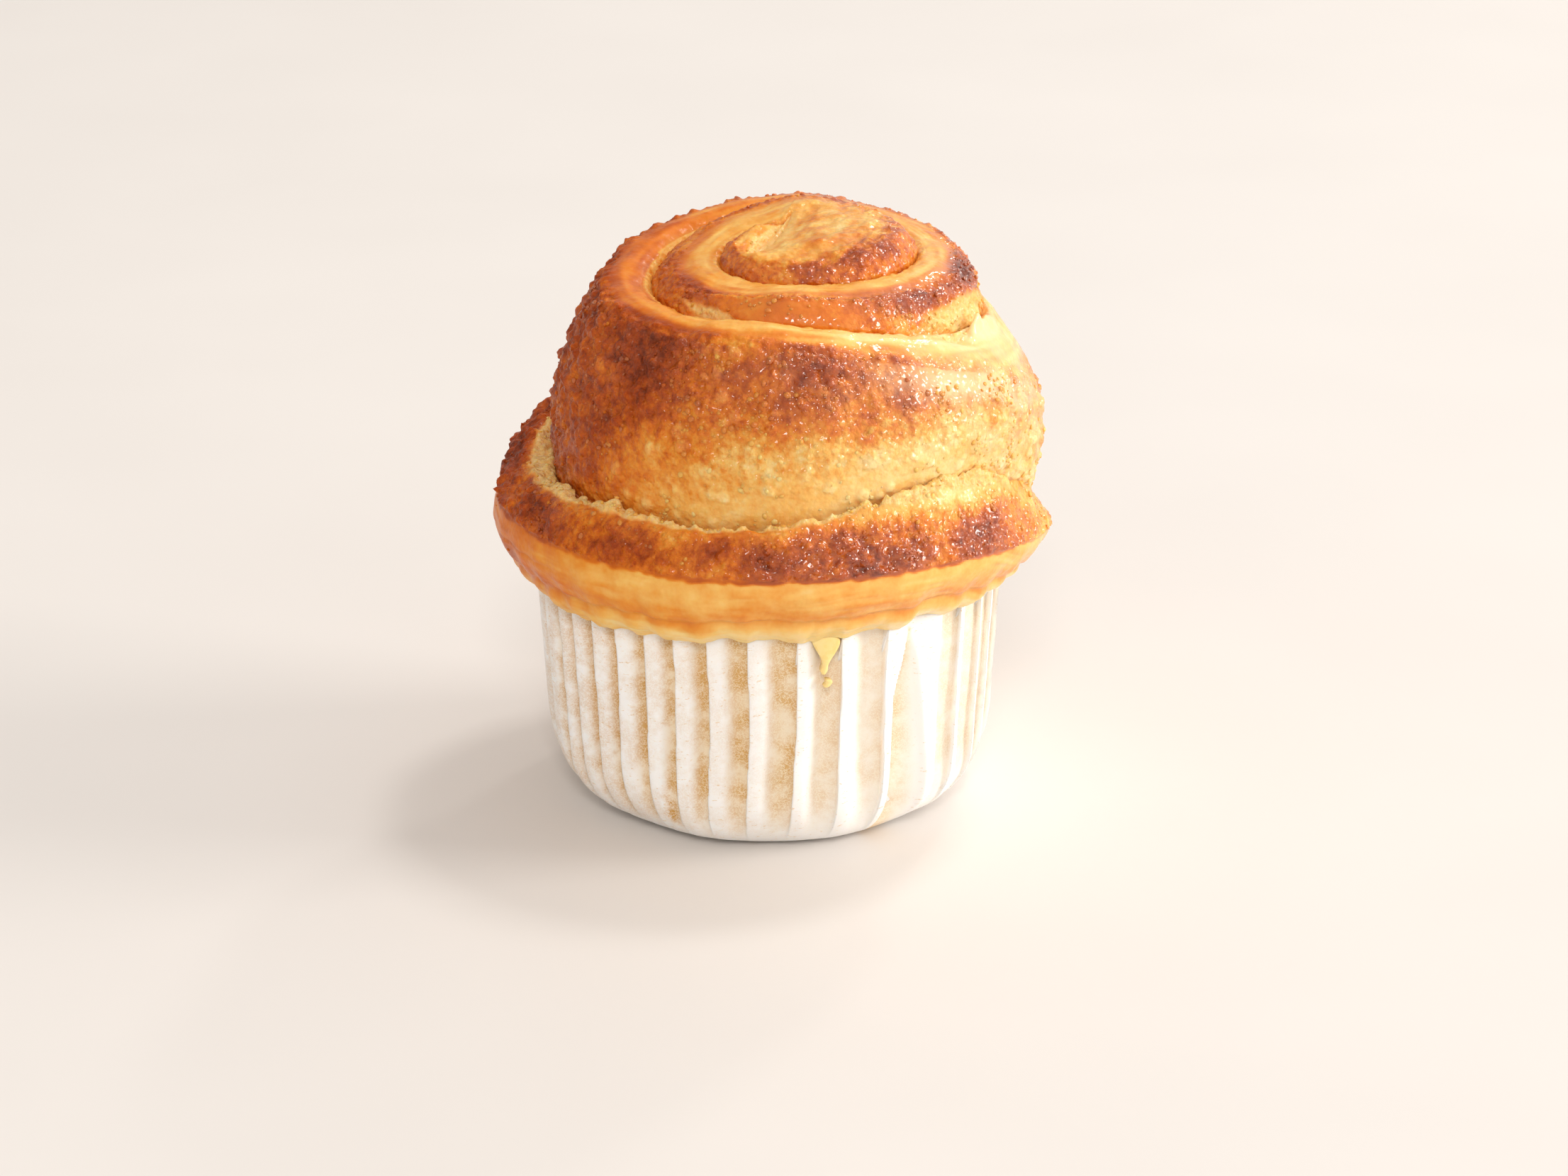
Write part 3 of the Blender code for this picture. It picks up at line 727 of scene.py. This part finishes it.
class Nodes:
    """A short way to add and join shader nodes."""

    def __init__(self, name):
        self.material = bpy.data.materials.new(name)
        self.material.use_nodes = True
        self.tree = self.material.node_tree
        self.shader = self.tree.nodes["Principled BSDF"]
        coordinates = self.tree.nodes.new("ShaderNodeTexCoord")
        self.place = coordinates.outputs["Object"]

    def add(self, kind, **settings):
        node = self.tree.nodes.new(kind)
        for name, value in settings.items():
            setattr(node, name, value)
        return node

    def join(self, source, socket):
        if isinstance(source, (int, float)):
            socket.default_value = source
        else:
            self.tree.links.new(source, socket)

    def field(self, name):
        return self.add("ShaderNodeAttribute", attribute_name=name).outputs["Fac"]

    def noise(self, wavelength, detail=2.0, roughness=0.5, place=None):
        node = self.add("ShaderNodeTexNoise")
        self.join(place or self.place, node.inputs["Vector"])
        node.inputs["Scale"].default_value = 1.0 / (wavelength * MM)
        node.inputs["Detail"].default_value = detail
        node.inputs["Roughness"].default_value = roughness
        return node.outputs["Fac"]

    def cells(self, size):
        node = self.add("ShaderNodeTexVoronoi")
        self.join(self.place, node.inputs["Vector"])
        node.inputs["Scale"].default_value = 1.0 / (size * MM)
        return node.outputs["Distance"]

    def math(self, operation, first, second=0.0):
        node = self.add("ShaderNodeMath", operation=operation)
        for source, socket in zip((first, second), node.inputs):
            self.join(source, socket)
        return node.outputs["Value"]

    def times(self, first, second):
        return self.math("MULTIPLY", first, second)

    def spread(self, value, low, high, start=0.0, end=1.0):
        node = self.add("ShaderNodeMapRange")
        self.join(value, node.inputs["Value"])
        for name, number in (("From Min", low), ("From Max", high), ("To Min", start), ("To Max", end)):
            self.join(number, node.inputs[name])
        return node.outputs["Result"]

    def ramp(self, value, stops):
        node = self.add("ShaderNodeValToRGB")
        self.join(value, node.inputs["Fac"])
        elements = node.color_ramp.elements
        while len(elements) < len(stops):
            elements.new(0.5)
        for element, (place, colour) in zip(elements, stops):
            element.position = place
            element.color = (*colour, 1.0)
        return node.outputs["Color"]

    def mix(self, share, first, second):
        node = self.add("ShaderNodeMix", data_type="RGBA")
        self.join(share, node.inputs[0])
        for source, socket in ((first, node.inputs[6]), (second, node.inputs[7])):
            if isinstance(source, tuple):
                socket.default_value = (*source, 1.0)
            else:
                self.tree.links.new(source, socket)
        return node.outputs[2]

    def bump(self, height, strength, depth):
        node = self.add("ShaderNodeBump")
        self.join(height, node.inputs["Height"])
        self.join(strength, node.inputs["Strength"])
        node.inputs["Distance"].default_value = depth * MM
        return node.outputs["Normal"]

    def finish(self, **sockets):
        for name, source in sockets.items():
            socket = self.shader.inputs[name.replace("_", " ")]
            if isinstance(source, tuple):
                socket.default_value = source
            else:
                self.join(source, socket)
        return self.material


# Colour of the dough as it browns, from pale crumb to nearly burnt.
BROWNING = (
    (0.0, (0.95, 0.68, 0.28)), (0.15, (0.92, 0.53, 0.135)), (0.34, (0.82, 0.305, 0.035)),
    (0.50, (0.72, 0.183, 0.012)), (0.66, (0.52, 0.098, 0.007)), (0.82, (0.36, 0.054, 0.006)),
    (1.0, (0.18, 0.025, 0.005)),
)
# Colour of bared crumb by its specks, and of skin that is paler than its browning, which also paints the
# light on the dome's lit right side.
CRUMB = ((0.25, (0.86, 0.38, 0.085)), (0.5, (0.95, 0.58, 0.20)), (0.8, (0.98, 0.74, 0.38)))
PALE_SKIN_AND_PAINTED_LIGHT = (0.97, 0.74, 0.44)


def crust_material():
    """Browned laminated dough: the browning follows the strip, with crumb, specks and a thin glaze."""
    n = Nodes("browned_dough")
    brown, grain, torn, pale, gloss = (n.field(name) for name in FIELDS)
    specks = n.noise(0.55, 3.0, 0.7)
    clouds = n.noise(2.2, 2.0, 0.5)
    clusters = n.spread(n.noise(1.7, 3.0, 0.65), 0.50, 0.64)
    pimples = n.spread(n.cells(0.55), 0.0, 0.6, 1.0, 0.0)
    knobs = n.spread(n.cells(1.0), 0.0, 0.6, 1.0, 0.0)
    swing = n.times(n.math("SUBTRACT", specks, 0.5), n.spread(grain, 0.0, 1.0, 0.08, 0.30))
    drift = n.times(n.math("SUBTRACT", clouds, 0.5), 0.16)
    toasted = n.math("ADD", n.math("ADD", brown, swing), drift)
    toasted = n.math("ADD", toasted, n.times(n.times(clusters, grain), 0.11))
    toasted = n.math("SUBTRACT", toasted, n.times(n.times(knobs, grain), 0.10))
    colour = n.ramp(toasted, BROWNING)
    flecks = n.math("SUBTRACT", n.times(specks, 1.25), n.times(brown, 0.25))
    crumb = n.ramp(flecks, CRUMB)
    colour = n.mix(n.times(torn, 0.75), colour, crumb)
    # Paler skin of blisters and the flake, and painted light on the dome's lit right side.
    colour = n.mix(n.times(pale, 0.6), colour, PALE_SKIN_AND_PAINTED_LIGHT)
    fine = n.noise(0.30, 2.0, 0.6)
    height = n.math("ADD", n.times(pimples, 0.35), n.times(fine, 0.5))
    height = n.math("ADD", height, n.times(knobs, 0.8))
    strength = n.spread(n.math("MAXIMUM", grain, torn), 0.0, 1.0, 0.10, 0.8)
    normal = n.bump(height, strength, 0.40)
    ripples = n.math("ADD", knobs, n.times(clouds, 1.8))
    glaze = n.bump(ripples, n.spread(grain, 0.0, 1.0, 0.06, 0.75), 0.45)
    sheen = n.times(n.math("SUBTRACT", specks, 0.5), 0.3)
    roughness = n.math("ADD", n.spread(brown, 0.1, 0.8, 0.46, 0.34), sheen)
    coat = n.times(gloss, n.spread(brown, 0.2, 0.7, 0.5, 1.0))
    return n.finish(Base_Color=colour, Roughness=roughness, Normal=normal, Specular_IOR_Level=0.18,
                    Specular_Tint=(1.0, 0.74, 0.52, 1.0), Coat_Weight=coat, Coat_Roughness=0.12,
                    Coat_IOR=1.68, Coat_Normal=glaze, Subsurface_Weight=0.35,
                    Subsurface_Radius=(1.0, 0.5, 0.18), Subsurface_Scale=0.0022)


# The paper: its crests, its grooves, whose tan is partly butter and partly painted shade, the lace that
# butter draws in them, and the stains at the left.
PAPER_CREST = (0.99, 0.98, 0.962)
PAPER_GROOVE = (0.95, 0.77, 0.51)
PAPER_SOAKED_AND_SHADED = (0.75, 0.46, 0.17)
PAPER_LACE = (0.95, 0.81, 0.59)
PAPER_STAIN = (0.66, 0.36, 0.09)


def paper_material():
    """Pleated white paper, frosted with butter in the grooves, whose tan tint is also painted shade."""
    n = Nodes("case_paper")
    groove, stain = n.field("groove"), n.field("stain")
    fibres = n.noise(0.42, 2.0, 0.55)
    blots = n.noise(3.6, 3.0, 0.6)
    stretched = n.add("ShaderNodeMapping")
    n.join(n.place, stretched.inputs["Vector"])
    stretched.inputs["Scale"].default_value = (1.0, 1.0, 3.0)
    dashes = n.noise(0.9, 2.0, 0.6, stretched.outputs["Vector"])
    lace = n.spread(n.math("ABSOLUTE", n.math("SUBTRACT", fibres, 0.5)), 0.02, 0.06, 0.85, 0.0)
    in_groove = n.spread(groove, 0.20, 0.95, 0.03, 1.0)
    soaked_and_shaded = n.times(n.spread(blots, 0.32, 0.60, 0.10, 0.95), in_groove)
    marks = n.times(n.spread(dashes, 0.635, 0.69), n.spread(groove, 0.0, 0.5, 0.55, 0.0))
    # The grooves are tinted tan by their depth: partly butter, partly painted shade.
    tint = n.mix(n.times(groove, 0.75), PAPER_CREST, PAPER_GROOVE)
    tan = n.mix(lace, PAPER_SOAKED_AND_SHADED, PAPER_LACE)
    colour = n.mix(n.math("MAXIMUM", soaked_and_shaded, marks), tint, tan)
    butter = n.times(stain, n.spread(blots, 0.37, 0.56))
    colour = n.mix(n.times(butter, n.spread(lace, 0.0, 0.8, 1.0, 0.4)), colour, PAPER_STAIN)
    normal = n.bump(fibres, 0.3, 0.10)
    roughness = n.spread(fibres, 0.3, 0.7, 0.42, 0.60)
    return n.finish(Base_Color=colour, Roughness=roughness, Normal=normal, Specular_IOR_Level=0.35,
                    Subsurface_Weight=0.15, Subsurface_Radius=(1.0, 0.75, 0.5), Subsurface_Scale=0.001)


# The dented pleat: in degrees from the front, its crisp edge at the apex and lower down, and its far side.
DENT_APEX = 36.0
DENT_EDGE = 32.3
DENT_FAR_TOP = 37.5
DENT_FAR_FOOT = 46.0
DENT_TOP = 32.0
DENT_STRAIGHT = 24.0
DENT_DEPTH = 2.3

# Custard on the case: degrees from the front, top, bottom, half width, neck's share of it, thickness.
DRIPS = ((13.6, 33.6, 28.0, 1.9, 0.20, 0.26), (14.3, 27.3, 26.2, 0.42, 1.0, 0.2))

# How finely the case is made: steps round it and up it, and those of its corner, up to this level.
CASE_COLUMNS = 1100
CASE_ROWS = 56
CASE_CORNER_ROWS = 14
CASE_CORNER_LEVEL = 0.32


def front_offset(angle):
    """Degrees from the front, growing to the right."""
    return np.degrees(np.mod(angle - FRONT + math.pi, 2 * math.pi) - math.pi)


def dent(offset, height):
    """(how far in, share) of the dented pleat at this offset and height."""
    edge = DENT_EDGE + (DENT_APEX - DENT_EDGE) * smooth(DENT_STRAIGHT - 2.0, DENT_TOP, height) ** 0.8
    far = DENT_FAR_FOOT + (DENT_FAR_TOP - DENT_FAR_FOOT) * np.clip(height / DENT_TOP, 0, 1)
    across = np.clip((offset - edge) / (far - edge), 0.0, 1.0)
    inside = smooth(-0.12, 0.12, offset - edge) * (1.0 - across**1.3)
    tall = (1.0 - smooth(DENT_TOP - 6.0, DENT_TOP, height)) * smooth(1.5, 6.0, height)
    fold = 0.45 * near(offset, far + 0.8, 0.9) * tall
    return DENT_DEPTH * inside * tall - fold, inside * (height < DENT_TOP + 0.5)


def case_surface(angle, height):
    """Outer points of the case and how deep in a groove each lies, which tints the grooves and the dent tan
    (butter and painted shade), less on the lit right side (painted light).
    """
    place = along(angle) * 30.0 + up(height)
    level = height / CASE_HEIGHT
    lean = np.radians(1.6) * (1.0 - level) ** 2 * np.sin(3.0 * angle + 0.4)
    wander = lean + np.radians(0.7) * waves(place, 14.0, 61) + np.radians(0.10) * waves(place, 3.5, 62)
    offset = front_offset(angle)
    by_dent = near(offset, 35.0, 5.0)
    share, which = pleat_share(angle + wander * (1.0 - by_dent))
    own = np.sin(which * 12.9898) * 0.5 + 0.5
    groove = smooth(0.12 + 0.22 * own, 0.62 + 0.16 * own, share) * (1.0 - smooth(0.945, 0.985, share))
    tuck = smooth(0.74, 0.92, share) * (1.0 - smooth(0.95, 0.99, share))
    taken = smooth(29.5, 31.0, offset) * (1.0 - smooth(45.5, 46.5, offset))
    groove = groove * (1.0 - taken)
    fade = (0.30 + 0.70 * smooth(2.0, 12.0, height)) * smooth(0.0, 5.0, height)
    calm = 1.0 - 0.4 * smooth(44.0, 54.0, offset) * (1.0 - smooth(90.0, 120.0, offset))
    variety = calm * (1.0 + 0.30 * waves(place, 14.0, 63))
    pushed, in_dent = dent(offset, height)
    roll = 0.22 * np.cos(2 * math.pi * share) * fade
    crumple = 0.07 * waves(place, 6.0, 64) + 0.05 * rough(place * np.array([1, 1, 1.6]), 2.4, 2, 65)
    crumple = crumple * smooth(0.0, 6.0, height)
    crumple = crumple + 0.25 * waves(place, 9.0, 66) * (1 - smooth(4.0, 15.0, height))
    crumple = crumple * smooth(0.2, 4.0, height)
    radius = case_radius(height) - PLEAT_DEPTH * groove * fade * variety - pushed + crumple + roll - 0.2
    corner = smooth(0.0, 2.0, height) * (1.0 - smooth(3.0, 14.0, height))
    radius = radius - 0.35 * (np.cos(9.0 * angle + 1.3) + 1.0) * corner
    shift = 0.022 * tuck * fade * (1.0 - taken)
    # The groove tint is halved towards the lit right side: painted light. The dent's tan is partly painted
    # shade.
    soaked_and_shaded = groove * fade * (1.0 - 0.50 * smooth(-2.0, 22.0, offset) * (1.0 - smooth(85.0, 115.0, offset)))
    return along(angle + shift) * radius[..., None] + up(height), np.maximum(soaked_and_shaded, 0.95 * in_dent)


def paper_case():
    """The case: its floor, a thin inside, the brim's edge and the pleated outside, as one closed grid."""
    angles = np.linspace(0.0, 2 * math.pi, CASE_COLUMNS + 1)
    corner = CASE_CORNER_LEVEL * np.linspace(0.0, 1.0, CASE_CORNER_ROWS + 1)[:-1] ** 1.5
    levels = np.concatenate([corner, np.linspace(CASE_CORNER_LEVEL, 1.0, CASE_ROWS - CASE_CORNER_ROWS)])
    angle = angles[:, None] + 0 * levels[None]
    height = levels[None] * (edge_height(angle) + 0.5)
    outside, groove = case_surface(angle, height)
    low = np.array([0.2, 2.0, 6.0, 12.0, 20.0, 27.0])[None] + 0 * angles[:, None]
    within = along(angles[:, None] + 0 * low) * (case_radius(low) - PLEAT_DEPTH - 0.9)[..., None] + up(low)
    brim = outside[:, -3:] - along(angle[:, -3:]) * PAPER_THICKNESS
    middle = np.zeros((len(angles), 1, 3))
    grid = np.concatenate([middle + up(np.full((1, 1), 0.15)), within, brim, outside[:, ::-1], middle], 1)
    offset = np.radians(front_offset(angle))
    left = np.clip(0.35 - 0.75 * np.sin(offset), 0.0, 1.0) ** 1.2
    spread = left * (0.38 + 0.62 * groove) * smooth(0.5, 4.0, height)
    spread = spread + 1.2 * near(np.degrees(offset), -27.0, 1.3) * near(height, 6.5, 2.4)
    inner = np.zeros((len(angles), 7))
    fields = {}
    for name, outer in (("groove", groove), ("stain", spread)):
        fields[name] = np.concatenate([inner, outer[:, -3:], outer[:, ::-1], inner[:, :1]], 1).reshape(-1)
    faces = []
    add_faces(faces, grid)
    points, faces, fields = welded(grid.reshape(-1, 3), np.concatenate(faces), fields)
    made = mesh_object("paper_case_pleated", points, faces, paper_material(), fields)
    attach(made, "root")
    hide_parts("paper_case")


def custard_drips():
    """A run of custard from the dough's edge down the case, and a drop below it."""
    across = np.linspace(-1.0, 1.0, 17)[None]
    points, faces = [], []
    count = 0
    for offset, high, low, width, neck, thick in DRIPS:
        down = np.linspace(0.0, 1.0, 33)[:, None]
        height = high + (low - high) * down
        taper = neck + (1.0 - neck) * (1.0 - smooth(0.1, 0.8, down)) + 0.06 * near(down, 0.88, 0.08)
        half = width * taper * np.sqrt(np.clip(1.0 - ((down - 0.5) / 0.5) ** 8, 0.0, 1.0))
        sway = 0.25 * np.sin(4.0 * down)
        angle = FRONT + math.radians(offset) + (half * across + sway) / CASE_RIM_RADIUS
        level = height + 0 * across
        bead = thick * np.sqrt(np.clip(1.0 - across**2, 0.0, 1.0)) * (0.6 + 0.4 * down)
        skin = case_radius(level)
        radius = np.where(half < 0.02, skin, skin + 0.12 + bead)
        front = along(angle) * radius[..., None] + up(level)
        back = along(angle) * (skin - 0.8)[..., None] + up(level)
        ring = np.concatenate([front[:, :1], back, front[:, ::-1]], 1)
        add_faces(faces, ring, count)
        points.append(ring.reshape(-1, 3))
        count += ring[..., 0].size
    joined, kept, _ = welded(np.concatenate(points), np.concatenate(faces), {})
    n = Nodes("custard")
    streaks = n.noise(1.2, 2.0)
    colour = n.ramp(streaks, ((0.3, (0.98, 0.68, 0.24)), (0.7, (0.99, 0.76, 0.34))))
    normal = n.bump(n.noise(0.5, 2.0), 0.15, 0.1)
    glaze = n.finish(Base_Color=colour, Roughness=n.spread(streaks, 0.3, 0.7, 0.22, 0.38), Normal=normal,
                     Subsurface_Weight=0.25, Subsurface_Radius=(1.0, 0.6, 0.25), Subsurface_Scale=0.001)
    made = mesh_object("custard_drips", joined, kept, glaze)
    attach(made, "root")


def floor():
    bpy.ops.mesh.primitive_plane_add(size=8.0)
    made = bpy.context.object
    made.name = "floor"
    n = Nodes("floor_pale")
    tint = n.ramp(n.noise(60.0, 2.0), ((0.3, (0.78, 0.735, 0.700)), (0.7, (0.80, 0.755, 0.720))))
    made.data.materials.append(n.finish(Base_Color=tint, Roughness=0.6, Specular_IOR_Level=0.2))


# Area lights: name, place, size, power, colour. All aim at the middle of the dome.
LIGHTS = (
    ("window", (1.55, -0.05, 0.50), 0.6, 15.0, (1.0, 0.975, 0.94)),
    ("front", (0.0, -1.50, 1.15), 0.35, 8.5, (1.0, 0.985, 0.96)),
    ("top_window", (0.35, 0.30, 1.15), 0.18, 2.8, (1.0, 0.98, 0.95)),
    ("back_window", (0.40, 0.75, 0.62), 0.09, 0.8, (1.0, 0.98, 0.95)),
)
LIGHT_AIM = (0.0, 0.0, 0.045)
# The sky: its colour, the way to its brighter side, and its strength away from there and there.
SKY = (1.0, 0.965, 0.92)
SKY_SIDE = (0.96, 0.10, 0.20)
SKY_STRENGTH = (0.55, 1.02)


def lights():
    """Even studio light that is brighter towards the window's side, and area lights."""
    world = bpy.data.worlds.new("studio")
    bpy.context.scene.world = world
    world.use_nodes = True
    nodes, links = world.node_tree.nodes, world.node_tree.links
    side = nodes.new("ShaderNodeVectorMath")
    side.operation = "DOT_PRODUCT"
    side.inputs[1].default_value = SKY_SIDE
    links.new(nodes.new("ShaderNodeTexCoord").outputs["Generated"], side.inputs[0])
    strength = nodes.new("ShaderNodeMapRange")
    links.new(side.outputs["Value"], strength.inputs["Value"])
    weakest, strongest = SKY_STRENGTH
    for name, number in (("From Min", -0.1), ("From Max", 1.0), ("To Min", weakest), ("To Max", strongest)):
        strength.inputs[name].default_value = number
    nodes["Background"].inputs["Color"].default_value = (*SKY, 1.0)
    links.new(strength.outputs["Result"], nodes["Background"].inputs["Strength"])
    for name, place, size, power, colour in LIGHTS:
        data = bpy.data.lights.new(name, "AREA")
        data.shape = "SQUARE"
        data.size = size
        data.energy = power
        data.color = colour
        made = bpy.data.objects.new(name, data)
        bpy.context.scene.collection.objects.link(made)
        made.location = place
        made.rotation_euler = (Vector(LIGHT_AIM) - Vector(place)).to_track_quat("-Z", "Y").to_euler()


# The camera at the photo's viewing angle.
CAMERA_PLACE = (0.002068, -0.583716, 0.263712)
CAMERA_PITCH = 22.0
CAMERA_LENS = 105.8


def camera():
    data = bpy.data.cameras.new("camera")
    data.sensor_width = 36.0
    data.lens = CAMERA_LENS
    made = bpy.data.objects.new("camera", data)
    bpy.context.scene.collection.objects.link(made)
    made.location = CAMERA_PLACE
    made.rotation_euler = (math.radians(90.0 - CAMERA_PITCH), 0.0, 0.0)
    bpy.context.scene.camera = made


camera()
lights()
floor()
dough = crust_material()
grains(pastry(dough), dough)
paper_case()
custard_drips()
bpy.context.scene.view_settings.view_transform = "Standard"
